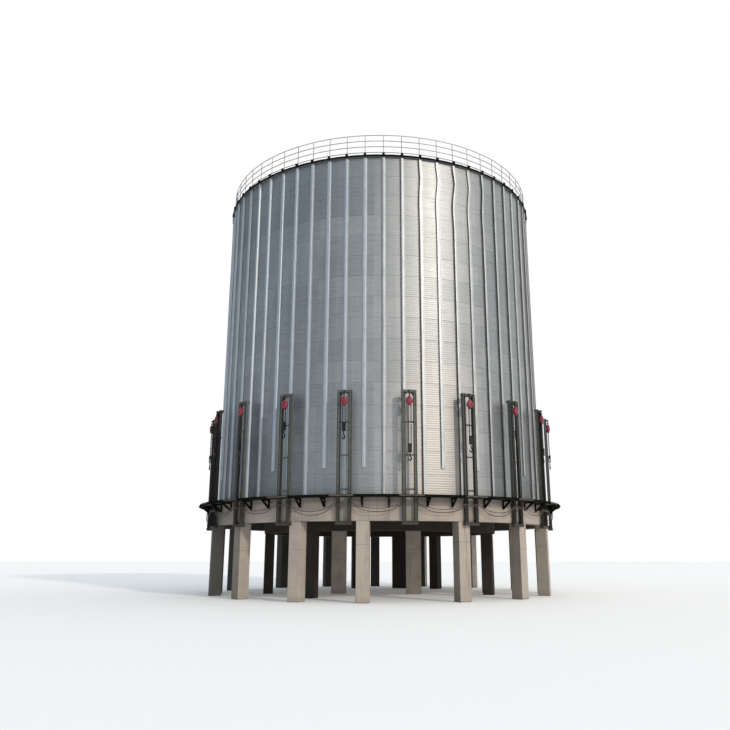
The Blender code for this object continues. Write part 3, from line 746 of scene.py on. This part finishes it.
def buildShell():
    waves = round((silo["wallTop"] - silo["wallFoot"]) / shell["pitch"])
    sizes = {"Start": 0.0, "Sweep": 360 / shell["panels"], "Radius": silo["wallRadius"],
             "Foot": silo["wallFoot"], "Top": silo["wallTop"], "Pitch": shell["pitch"],
             "Depth": shell["depth"], "Lap": shell["lap"], "Tier": silo["tierHeight"],
             "Columns": shell["columns"] + 1, "Rings": waves * shell["ringsAWave"] + 1}
    tree = sheetTree(sizes)
    for panel in range(shell["panels"]):
        sizes["Start"] = stiffenerBearing(panel * stiffenersAPanel) - bearingStep / 2
        piece = keep(runTree(f"shellSheets{panel + 1}", tree, sizes), "sheet")
        sharpenRim(piece.data)
        skin = piece.modifiers.new("Sheet thickness", "SOLIDIFY")
        skin.thickness = shell["thickness"]
        skin.offset = -1
        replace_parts(piece, f"wall_panel_{panel + 1}")


buildShell()
print("shell made")

# Folded hat stiffeners with a flange each side, in lengths that overlap
stiffener = {"base": 0.25, "crown": 0.13, "depth": 0.088, "sheet": 0.006, "top": 22.19, "corner": 0.022,
             "cornerSteps": 3, "lip": 0.012, "rootFaces": 3, "shortCrown": 0.17, "shortDepth": 0.055,
             "shortFoot": 6.05, "length": 3.30, "shortest": 0.3, "nest": 0.004, "overlap": 0.002,
             "segment": 0.33, "clear": 0.0005, "buckle": 0.115, "buckleIndex": 4.2, "buckleReach": 2.6,
             "bulge": (21.15, 0.6), "dip": (19.6, 0.7), "dipShare": 0.4,
             "short": (3, 5, 9, *range(12, 54, 3), 54, 57, 59)}


def hatOutline(grow, isShort):
    # Half of the folded section with its rounded corner, outer side first, then the whole by mirroring
    half = stiffener["base"] / 2
    crown = stiffener["shortCrown" if isShort else "crown"] / 2 + grow
    deep = stiffener["shortDepth" if isShort else "depth"] + grow
    skin = stiffener["sheet"] + grow
    corner = stiffener["corner"]
    outer = [(half, skin), (crown + stiffener["lip"], skin)]
    for step in range(stiffener["cornerSteps"] + 1):
        turn = math.pi / 2 * step / stiffener["cornerSteps"]
        outer.append((crown - corner * (1 - math.cos(turn)), deep - corner * (1 - math.sin(turn))))
    return [(-x, y) for x, y in outer] + [(x, y) for x, y in reversed(outer)] + [(half, 0.0), (-half, 0.0)]


def buckleOf(index, z):
    # The stiffeners on the sunny side near the top have pulled a little out of line
    near = max(0.0, 1 - abs(index - stiffener["buckleIndex"]) / stiffener["buckleReach"])
    (high, tall), (low, deep) = stiffener["bulge"], stiffener["dip"]
    bend = math.exp(-((z - high) / tall) ** 2) - stiffener["dipShare"] * math.exp(-((z - low) / deep) ** 2)
    return stiffener["buckle"] * near ** 0.5 * bend


def addHat(shape, index, low, high, outline):
    clear = silo["wallRadius"] + shell["depth"] + shell["lap"] + stiffener["clear"]
    turn = Matrix.Rotation(rad(stiffenerBearing(index)), 3, "Z")
    rings = max(1, round((high - low) / stiffener["segment"]))
    levels = []
    for step in range(rings + 1):
        z = low + (high - low) * step / rings
        side = buckleOf(index, z)
        levels.append([shape.verts.new(turn @ Vector((x + side, -(clear + y), z))) for x, y in outline])
    root = shape.faces.layers.float.get("root") or shape.faces.layers.float.new("root")
    for walls in loft(shape, levels):
        for face in walls[:stiffener["rootFaces"]]:
            face[root] = 1.0


def buildStiffeners():
    for panel in range(shell["panels"]):
        shape = bmesh.new()
        for index in range(panel * stiffenersAPanel, (panel + 1) * stiffenersAPanel):
            isShort = index in stiffener["short"]
            low = stiffener["shortFoot"] if isShort else silo["wallFoot"] + stiffener["overlap"]
            number = 0
            while low < stiffener["top"] - stiffener["shortest"]:
                high = min(low + stiffener["length"], stiffener["top"])
                addHat(shape, index, low, high, hatOutline(stiffener["nest"] * (number % 2), isShort))
                low, number = high - stiffener["overlap"], number + 1
        bmesh.ops.recalc_face_normals(shape, faces=shape.faces)
        keep(pieceFromShape(f"stiffeners{panel + 1}", shape, 40), "stiffener")


buildStiffeners()
print("stiffeners made")

# Bolts down both flanges of each stiffener, and along every lap of the sheets
bolts = {"radius": 0.016, "height": 0.012, "pitch": 0.22, "lapPitch": 1.5, "sides": 6, "foot": 0.08,
         "flangeShift": 0.006, "underLap": 0.055, "lapOut": 0.002}


def boltTree(sizes):
    graph, given = growTree("Bolt rows", sizes)
    number = graph.node("GeometryNodeInputIndex")
    column = (number / given["Rows"] + 0.0001).floor()
    bearing = given["First bearing"] + given["Bearing step"] * column
    height = given["Foot"] + given["Step"] * (number - column * given["Rows"])
    head = cylinder(graph, bolts["sides"], given["Head"], given["Height"])
    heads = standRound(graph, given["Columns"] * given["Rows"], bearing, given["Out"], height, head,
                       given["Spread"], math.pi / 2)
    return endTree(graph, heads, "stiffener")


def buildBolts():
    skin = silo["wallRadius"] + shell["depth"]
    sizes = {"Columns": silo["stiffeners"],
             "Rows": int((stiffener["top"] - stiffener["shortFoot"]) / bolts["pitch"]),
             "First bearing": silo["firstStiffener"], "Bearing step": bearingStep,
             "Foot": stiffener["shortFoot"] + bolts["foot"], "Step": bolts["pitch"], "Spread": 0.0,
             "Out": skin + shell["lap"] + stiffener["sheet"] + bolts["height"] / 2,
             "Head": bolts["radius"], "Height": bolts["height"]}
    tree = boltTree(sizes)
    flange = (stiffener["base"] + stiffener["shortCrown"]) / 4 + bolts["flangeShift"]
    for side, label in ((-1, "Left"), (1, "Right")):
        piece = runTree("flangeBolts" + label, tree, {**sizes, "Spread": side * flange})
        keep(piece, "stiffener")
    piece = runTree("lapBolts", tree, {
        **sizes, "Columns": int(360 / bolts["lapPitch"]),
        "Rows": int((silo["wallTop"] - silo["wallFoot"]) / silo["tierHeight"]),
        "First bearing": silo["firstStiffener"] + bolts["lapPitch"] / 2, "Bearing step": bolts["lapPitch"],
        "Foot": silo["wallFoot"] + silo["tierHeight"] - bolts["underLap"], "Step": silo["tierHeight"],
        "Out": skin + bolts["lapOut"]})
    keep(piece, "stiffener")


buildBolts()
print("bolts made")

# Clips on the dark ring at the eave, one over every stiffener
eaveClips = {"Count": silo["stiffeners"], "First": silo["firstStiffener"], "Out": 9.29, "Height": 22.35,
             "Width": 0.13, "Tall": 0.19, "Deep": 0.06}


def clipTree():
    graph, given = growTree("Eave clips", eaveClips)
    bearing = given["First"] + graph.node("GeometryNodeInputIndex") * bearingStep
    clip = box(graph, given["Width"], given["Deep"], given["Tall"])
    clips = standRound(graph, given["Count"], bearing, given["Out"], given["Height"], clip)
    return endTree(graph, clips, "eave")


keep(runTree("eaveClips", clipTree(), eaveClips), "eave")
print("eave made")

# Guard rail: round tubes, a post over every stiffener and four rings
guardRail = {"Out": 9.15, "Tube": 0.021, "Foot": 22.3405, "First rail": 22.54, "Rail step": 1.0 / 3,
             "Rails": 4, "Posts": silo["stiffeners"], "First post": silo["firstStiffener"], "Plate": 0.11,
             "Plate thickness": 0.012, "Sides": 8, "Steps round": 240}


def railTree():
    graph, given = growTree("Guard rail", guardRail)
    number = graph.node("GeometryNodeInputIndex")
    hoop = graph.node("GeometryNodeCurveToMesh", {}, {
        "Curve": circle(graph, given["Steps round"], given["Out"]),
        "Profile Curve": circle(graph, given["Sides"], given["Tube"])})
    levels = graph.vector(0.0, 0.0, given["First rail"] + given["Rail step"] * number)
    tall = given["First rail"] + given["Rail step"] * (given["Rails"] - 1) - given["Foot"]
    post = cylinder(graph, given["Sides"], given["Tube"], tall)
    plate = box(graph, given["Plate"], given["Plate"], given["Plate thickness"])
    bearing = given["First post"] + number * bearingStep
    parts = [standAt(graph, given["Rails"], levels, hoop)]
    for shape, high in ((post, tall), (plate, given["Plate thickness"])):
        level = given["Foot"] + high * 0.5
        parts.append(standRound(graph, given["Posts"], bearing, given["Out"], level, shape))
    join = graph.tree.nodes.new("GeometryNodeJoinGeometry")
    for part in parts:
        graph.tree.links.new(part.socket, join.inputs[0])
    return endTree(graph, Wire(graph, join.outputs[0]), "rail")


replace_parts(keep(runTree("guardRail", railTree(), guardRail), "rail"), "handrail")
print("guard rail made")

# Roof seams: low folds in the sheet between the ribs of the roof cone
roofSeams = {"Seams": 120, "First": silo["firstStiffener"] + 1.5, "Edge": 9.04, "Hole": 0.92,
             "Seat": 22.3903, "Edge out": 9.10, "Slope": 25.0, "Wide": 0.03, "Tall": 0.012}


def seamTree():
    graph, given = growTree("Roof seams", roofSeams)
    slope = given["Slope"] * perDegree
    bearing = given["First"] + graph.node("GeometryNodeInputIndex") * 360 / given["Seams"]
    middle = (given["Edge"] + given["Hole"]) * 0.5
    height = given["Seat"] + (given["Edge out"] - middle) * slope.sine() / slope.cosine()
    seam = box(graph, given["Wide"], (given["Edge"] - given["Hole"]) / slope.cosine(), given["Tall"] * 2)
    seams = standRound(graph, given["Seams"], bearing, middle, height, seam, lean=slope)
    return endTree(graph, seams, "roof")


keep(runTree("roofSeams", seamTree(), roofSeams), "roof")
print("roof seams made")

# Portal frames of the hoists: two channel legs on packers, rungs, head beam with its arm, and foot bar
portal = {"wide": 0.70, "deep": 0.22, "foot": 3.41, "head": 9.67, "leg": 0.15, "legDeep": 0.15,
          "flange": 0.014, "web": 0.012, "webBack": 0.035, "slack": 0.004, "packerLevels": (3.60, 4.40),
          "packer": (0.12, 0.18, 0.16), "rungs": (5.01, 6.59, 8.14), "rung": (0.42, 0.05, 0.07),
          "plates": (3.9, 4.45, 5.8, 7.35, 8.9), "plate": (0.13, 0.13, 0.012), "beam": 0.12,
          "gusset": (0.13, 0.16, 0.012), "armWide": 0.10, "armReach": 0.12, "armTall": 0.08,
          "armFlange": 0.016, "armWeb": 0.014, "armDrop": 0.02, "footBar": (0.76, 0.24, 0.13)}


def addBlock(shape, size, centre, chamfer=0.0):
    made = bmesh.ops.create_cube(shape, size=1)["verts"]
    bmesh.ops.scale(shape, vec=size, verts=made)
    bmesh.ops.translate(shape, vec=centre, verts=made)
    if chamfer > 0:
        edges = {edge for vert in made for edge in vert.link_edges}
        bmesh.ops.bevel(shape, geom=list(edges), offset=chamfer, segments=2, affect="EDGES")


def addRod(shape, start, end, radius, sides):
    start, end = Vector(start), Vector(end)
    way = end - start
    turn = way.to_track_quat("Z", "Y").to_matrix().to_4x4()
    bmesh.ops.create_cone(shape, cap_ends=True, segments=sides, radius1=radius, radius2=radius,
                          depth=way.length, matrix=Matrix.Translation((start + end) / 2) @ turn)


def framePlace(number):
    # The frames stand a little to one side of their stiffener
    return Matrix.Rotation(rad(frameBearing(number)), 4, "Z") @ Matrix.Translation((silo["frameShift"], 0, 0))


def repeatRound(name, shapes, finish, smooth=None):
    # One piece out of a shape for each hoist frame
    whole = bmesh.new()
    for number in range(silo["framesRound"]):
        copy = shapes[number % len(shapes)].copy()
        bmesh.ops.transform(copy, matrix=framePlace(number), verts=copy.verts)
        mesh = bpy.data.meshes.new("copy")
        copy.to_mesh(mesh)
        copy.free()
        whole.from_mesh(mesh)
        bpy.data.meshes.remove(mesh)
    bmesh.ops.recalc_face_normals(whole, faces=whole.faces)
    return keep(pieceFromShape(name, whole, smooth), finish)


def addGusset(shape, side, top, out):
    # A triangular plate in the corner under the head beam
    reach, drop, half = portal["gusset"]
    x = side * (portal["wide"] / 2 - portal["leg"])
    corners = ((x, top), (x - side * reach, top), (x, top - drop))
    loft(shape, [[shape.verts.new((a, -out - face * half, z)) for a, z in corners] for face in (1, -1)])


def portalShape():
    shape = bmesh.new()
    face = silo["beamFace"] + silo["gap"]
    front = face + portal["deep"]
    middle = (face + front) / 2
    half, leg, slack, flange = portal["wide"] / 2, portal["leg"], portal["slack"], portal["flange"]
    tall, level = portal["head"] - portal["foot"], (portal["head"] + portal["foot"]) / 2
    legOut = front - portal["legDeep"] / 2
    for side in (-1, 1):
        centre = side * (half - leg / 2)
        for x in (half - flange / 2, half - leg + flange / 2):
            addBlock(shape, (flange, portal["legDeep"], tall), (side * x, -legOut, level))
        for height in portal["packerLevels"]:
            # Packers hold the leg off the beam
            addBlock(shape, portal["packer"], (centre, -(face + portal["packer"][1] / 2), height), 0.004)
        web = (leg - slack, portal["web"], tall - slack)
        addBlock(shape, web, (centre, portal["webBack"] - front, level))
        for height in (*portal["rungs"], *portal["plates"]):
            addBlock(shape, portal["plate"], (centre, -legOut, height))
    for height in portal["rungs"]:
        addBlock(shape, portal["rung"], (0, -middle, height), 0.006)
    beam = portal["beam"]
    addBlock(shape, (portal["wide"] - slack, portal["deep"] - slack, beam),
             (0, -middle, portal["head"] - beam / 2), 0.006)
    for side in (-1, 1):
        addGusset(shape, side, portal["head"] - beam, middle)
    # The arm is a small I section: two flanges and a web, each at a drop from its top
    reach = front + portal["armReach"] - middle
    top, deep, flange = portal["head"] - portal["armDrop"], portal["armTall"], portal["armFlange"]
    for wide, thick, drop in ((portal["armWide"], flange, flange / 2),
                              (portal["armWide"], flange, deep - flange / 2),
                              (portal["armWeb"], deep, deep / 2)):
        addBlock(shape, (wide, reach, thick), (0, -(middle + reach / 2), top - drop))
    return shape


def footBarShape():
    shape = bmesh.new()
    out = silo["beamFace"] + silo["gap"] + portal["footBar"][1] / 2
    addBlock(shape, portal["footBar"], (0, -out, portal["foot"] + portal["footBar"][2] / 2), 0.008)
    return shape


def buildPortals():
    piece = repeatRound("hoistPortals", [portalShape()], "frame")
    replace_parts(piece, *[f"hoist_frame_{number + 1:02d}" for number in range(silo["framesRound"])])
    repeatRound("footBars", [footBarShape()], "bar")


buildPortals()
print("portals made")

# Chain hoists: red bodies under the arms, two falls of chain, and a black block with its hook
hoist = {"out": 9.86, "height": 9.15, "radius": 0.182, "stretch": 1.26, "thick": 0.20, "taper": 0.45,
         "sides": 28, "fallGap": 0.065, "link": 0.068, "linkWide": 0.044, "linkTall": 0.096, "wire": 0.010,
         "fallEnd": 0.06, "coverBolts": 6, "coverRadius": 0.055, "block": (0.17, 0.12, 0.42), "cheek": 0.35,
         "cheekOut": 0.3, "sheave": 0.06, "sheaveDown": 0.12, "hookSides": 8,
         "tops": {-3: 7.60, -2: 8.30, -1: 8.10, 0: 7.10, 1: 7.60, 2: 8.10}, "usualTop": 7.60}


def hookTop(number):
    # The frames left of the front count as -1, -2 and so on
    half = silo["framesRound"] // 2
    return hoist["tops"].get(number if number < half else number - silo["framesRound"], hoist["usualTop"])


def bodyShape():
    # A gear housing with domed covers: it narrows to the eye at its top
    shape = bmesh.new()
    domed = ((0.50, 0.42), (0.47, 0.66), (0.36, 0.88), (0.14, 1.0))
    levels = []
    for depth, spread in (*domed, *((-depth, spread) for depth, spread in reversed(domed))):
        ring = []
        for step in range(hoist["sides"]):
            angle = 2 * math.pi * step / hoist["sides"]
            high = math.cos(angle)
            narrow = hoist["taper"] * (max(0.0, high + 0.25) + 0.6 * max(0.0, -high - 0.35))
            x = hoist["radius"] * spread * math.sin(angle) * (1 - narrow)
            z = hoist["radius"] * hoist["stretch"] * spread * high
            ring.append(shape.verts.new((x, depth * hoist["thick"] - hoist["out"], hoist["height"] + z)))
        levels.append(ring)
    loft(shape, levels)
    return shape


def bodyTrimShape():
    # Cover bolts, the rod and eye above the body, and the chain guide below it
    shape = bmesh.new()
    out, height, tall = hoist["out"], hoist["height"], hoist["radius"] * hoist["stretch"]
    cover = out + hoist["thick"] * 0.5
    for step in range(hoist["coverBolts"]):
        angle = 2 * math.pi * step / hoist["coverBolts"]
        x = hoist["coverRadius"] * math.sin(angle)
        z = height + hoist["coverRadius"] * hoist["stretch"] * math.cos(angle)
        addRod(shape, (x, -cover + 0.01, z), (x, -cover - 0.006, z), 0.008, 6)
    addRod(shape, (0, -out, height + tall - 0.03), (0, -out, portal["head"] - 0.09), 0.020, 8)
    addBlock(shape, (0.07, 0.09, 0.10), (0, -out, height + tall + 0.07), 0.012)
    addBlock(shape, (0.10, 0.12, 0.03), (0, -out, height - tall), 0.008)
    return shape


def addHook(shape, top):
    # A bar bent round, thick in the bowl and thin at its tip: across, up, and half of its thickness
    points = [(0.0, 0.0, 0.028), (0.0, -0.08, 0.028), (0.04, -0.15, 0.032), (0.06, -0.22, 0.034),
              (0.036, -0.285, 0.036), (-0.02, -0.305, 0.034), (-0.068, -0.27, 0.028), (-0.08, -0.21, 0.018),
              (-0.068, -0.165, 0.009)]
    turns = [2 * math.pi * step / hoist["hookSides"] for step in range(hoist["hookSides"])]
    levels = []
    for spot, (x, z, thick) in enumerate(points):
        before, after = points[max(0, spot - 1)], points[min(len(points) - 1, spot + 1)]
        way = Vector((after[0] - before[0], after[1] - before[1])).normalized()
        levels.append([shape.verts.new((x - way.y * thick * math.cos(turn),
                                        thick * math.sin(turn) - hoist["out"],
                                        top + z + way.x * thick * math.cos(turn))) for turn in turns])
    loft(shape, levels)


def blockShape(top):
    # Two cheeks with a sheave between them, and the hook on its shank
    shape = bmesh.new()
    out = hoist["out"]
    wide, deep, tall = hoist["block"]
    for side in (-1, 1):
        centre = (0, -(out + side * deep * hoist["cheekOut"]), top - tall / 2)
        addBlock(shape, (wide, deep * hoist["cheek"], tall), centre, 0.02)
    axle = top - hoist["sheaveDown"]
    addRod(shape, (0, deep / 2 - out, axle), (0, -(out + deep / 2), axle), hoist["sheave"], 16)
    addRod(shape, (0, -out, top - tall + 0.03), (0, -out, top - tall - 0.07), 0.022, 10)
    addHook(shape, top - tall - 0.06)
    return shape


def chainTree(sizes):
    graph, given = growTree("Chain fall", sizes)
    number = graph.node("GeometryNodeInputIndex")
    count = ((given["Top"] - given["Bottom"]) / given["Link"]).floor() + 1
    places = graph.vector(given["Side"], -given["Out"], given["Top"] - given["Link"] * number)
    oval = graph.node("GeometryNodeTransform", {}, {
        0: circle(graph, 10, 1.0), "Rotation": (math.pi / 2, 0, 0),
        "Scale": graph.vector(given["Wide"] * 0.5, given["Tall"] * 0.5, 1.0)})
    link = graph.node("GeometryNodeCurveToMesh", {}, {
        "Curve": oval, "Profile Curve": circle(graph, 5, given["Wire"])})
    # Every other link stands across
    turn = graph.vector(0.0, 0.0, number.wrap(2) * (math.pi / 2))
    return endTree(graph, standAt(graph, count, places, link, turn), "chain")


def buildHoists():
    repeatRound("hoistBodies", [bodyShape()], "enamel", 40)
    repeatRound("hoistTrim", [bodyTrimShape()], "chain", 40)
    levels = [hookTop(number) for number in range(silo["framesRound"])]
    repeatRound("hookBlocks", [blockShape(level) for level in levels], "block", 40)
    sizes = {"Top": hoist["height"] - hoist["radius"] * hoist["stretch"], "Bottom": hoist["usualTop"],
             "Link": hoist["link"], "Wide": hoist["linkWide"], "Tall": hoist["linkTall"],
             "Wire": hoist["wire"], "Side": hoist["fallGap"], "Out": hoist["out"]}
    tree = chainTree(sizes)
    for label, side in (("Left", -hoist["fallGap"]), ("Right", hoist["fallGap"])):
        falls = []
        for level in levels:
            made = runTree("fall", tree, {**sizes, "Bottom": level - hoist["fallEnd"], "Side": side})
            falls.append(bmesh.new())
            falls[-1].from_mesh(made.data)
            bpy.data.objects.remove(made, do_unlink=True)
        repeatRound("chainFalls" + label, falls, "chain", 60)


buildHoists()
print("hoists made")

# Columns with chamfered arrises, each standing for its CAD column, with painted shade for each face; a
# shelter of 0 is full light
column = {"chamfer": 0.014, "left": -34.0, "leftShelter": 0.50, "inShelter": 0.93, "inShelterRight": 0.70,
          "rightFrom": 3.0, "backFrom": -1.5, "sideFrom": 8.0, "sideShelter": 0.33, "facing": 0.5}


def shelterOf(normal, spot):
    # How far a face is turned from the light: those facing the axis most, and those facing left in part
    flat = Vector((spot.x, spot.y)).normalized()
    outward = normal.x * flat.x + normal.y * flat.y
    if spot.y > column["backFrom"]:
        if outward > column["facing"]:
            return 0.0
        if spot.x < column["rightFrom"]:
            return column["inShelter"]
    if outward < -column["facing"]:
        return column["inShelterRight"] if spot.x > column["rightFrom"] else column["inShelter"]
    bearing = math.degrees(math.atan2(normal.x, -normal.y))
    if bearing < column["left"]:
        return column["leftShelter"]
    return column["sideShelter"] if spot.x > column["sideFrom"] and bearing < 0 else 0.0


def buildColumns():
    names = [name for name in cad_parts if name.startswith("outer_column")]
    whole = bmesh.new()
    for name in names:
        whole.from_mesh(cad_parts[name].data)
    bmesh.ops.remove_doubles(whole, verts=whole.verts, dist=0.0005)
    bmesh.ops.dissolve_limit(whole, angle_limit=rad(1), verts=whole.verts, edges=whole.edges)
    bmesh.ops.bevel(whole, geom=whole.edges[:], offset=column["chamfer"], segments=1, affect="EDGES")
    whole.normal_update()
    shelter = whole.faces.layers.float.new("shelter")
    for face in whole.faces:
        face[shelter] = shelterOf(face.normal, face.calc_center_median())
    piece = pieceFromShape("castColumns", whole)
    if "custom_normal" in piece.data.attributes:
        piece.data.attributes.remove(piece.data.attributes["custom_normal"])
    piece.data.shade_flat()
    keep(piece, "columnConcrete")
    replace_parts(piece, *names)


buildColumns()
print("columns made")

# CAD nodes that keep their own shape
nodeFinishes = {"ring_beam": "concrete", "core_column_1": "coreConcrete", "core_column_2": "coreConcrete",
                "floor_slab": "innerConcrete", "inner_frame": "innerConcrete", "eave_ring": "eave",
                "roof_cone": "roof", "roof_cap": "roof", "walkway_deck": "grating",
                "walkway_frame": "walkway"}
for name, finish in nodeFinishes.items():
    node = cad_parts[name]
    node.data.materials.clear()
    node.data.materials.append(finishes[finish])
print("frame dressed")
